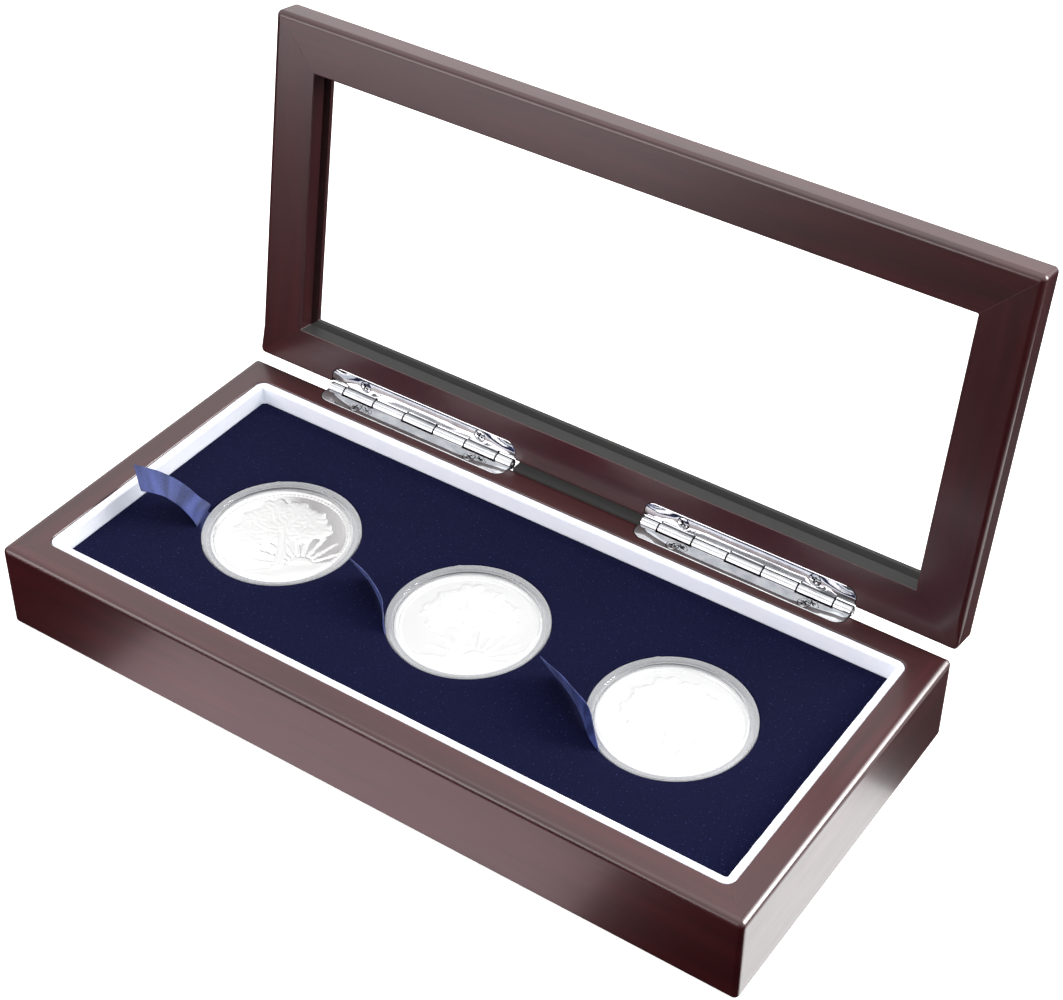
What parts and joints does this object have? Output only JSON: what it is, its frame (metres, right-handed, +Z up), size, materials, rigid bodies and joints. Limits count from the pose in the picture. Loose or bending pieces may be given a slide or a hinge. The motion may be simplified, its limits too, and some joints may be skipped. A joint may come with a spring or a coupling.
{
  "type": "coin display tray",
  "caption": "Lacquered wooden display case, lid with a glass window standing open on butt hinges, coins in clear capsules set in a velvet insert with pull ribbons.",
  "frame": {"origin": "middle of the underside, on the plane the felt stands on", "axes": "+X along the length of the case, +Y from the front to the hinged back, +Z up"},
  "size_m": [0.238, 0.1388, 0.1368],
  "materials": {
    "lacquered_wood": "satin",
    "fibreboard": "matte",
    "underside_felt": "matte",
    "white_lining": "matte",
    "insert_board": "matte",
    "navy_velvet": "matte",
    "satin_ribbon": "satin",
    "clear_plastic": "gloss",
    "proof_silver": "polished",
    "window_glass": "gloss",
    "hinge_chrome": "polished"
  },
  "bodies": {
    "base": {"base_front_rail": "lacquered_wood", "base_back_rail": "lacquered_wood", "base_left_rail": "lacquered_wood", "base_right_rail": "lacquered_wood", "base_back_ledge": "lacquered_wood", "base_bottom_panel": "fibreboard", "underside_felt": "underside_felt", "lining_front": "white_lining", "lining_back": "white_lining", "lining_left": "white_lining", "lining_right": "white_lining", "insert_base_board": "insert_board", "velvet_board": "navy_velvet", "ribbon_left": "satin_ribbon", "ribbon_middle": "satin_ribbon", "ribbon_right": "satin_ribbon", "hinge_left_base_leaf": "hinge_chrome", "hinge_left_pin": "hinge_chrome", "hinge_left_base_screw_1": "hinge_chrome", "hinge_left_base_screw_2": "hinge_chrome", "hinge_right_base_leaf": "hinge_chrome", "hinge_right_pin": "hinge_chrome", "hinge_right_base_screw_1": "hinge_chrome", "hinge_right_base_screw_2": "hinge_chrome"},
    "lid": {"lid_front_rail": "lacquered_wood", "lid_back_rail": "lacquered_wood", "lid_left_rail": "lacquered_wood", "lid_right_rail": "lacquered_wood", "lid_glass": "window_glass", "hinge_left_lid_leaf": "hinge_chrome", "hinge_left_lid_screw_1": "hinge_chrome", "hinge_left_lid_screw_2": "hinge_chrome", "hinge_right_lid_leaf": "hinge_chrome", "hinge_right_lid_screw_1": "hinge_chrome", "hinge_right_lid_screw_2": "hinge_chrome"},
    "coin_capsule_left": {"capsule_left_base": "clear_plastic", "capsule_left_cover": "clear_plastic", "coin_left": "proof_silver"},
    "coin_capsule_middle": {"capsule_middle_base": "clear_plastic", "capsule_middle_cover": "clear_plastic", "coin_middle": "proof_silver"},
    "coin_capsule_right": {"capsule_right_base": "clear_plastic", "capsule_right_cover": "clear_plastic", "coin_right": "proof_silver"}
  },
  "joints": [
    {"name": "lid_hinge", "type": "hinge", "parent": "base", "child": "lid", "pos_m": [0, 0.0564, 0.0272], "axis": [1, 0, 0], "range_deg": [0, 99.5], "deforming": ["ribbon_left"]},
    {"name": "left_capsule_lift", "type": "slide", "parent": "base", "child": "coin_capsule_left", "axis": [0, 0, 1], "range_m": [0, 0.01]},
    {"name": "middle_capsule_lift", "type": "slide", "parent": "base", "child": "coin_capsule_middle", "axis": [0, 0, 1], "range_m": [0, 0.01]},
    {"name": "right_capsule_lift", "type": "slide", "parent": "base", "child": "coin_capsule_right", "axis": [0, 0, 1], "range_m": [0, 0.01]}
  ]
}
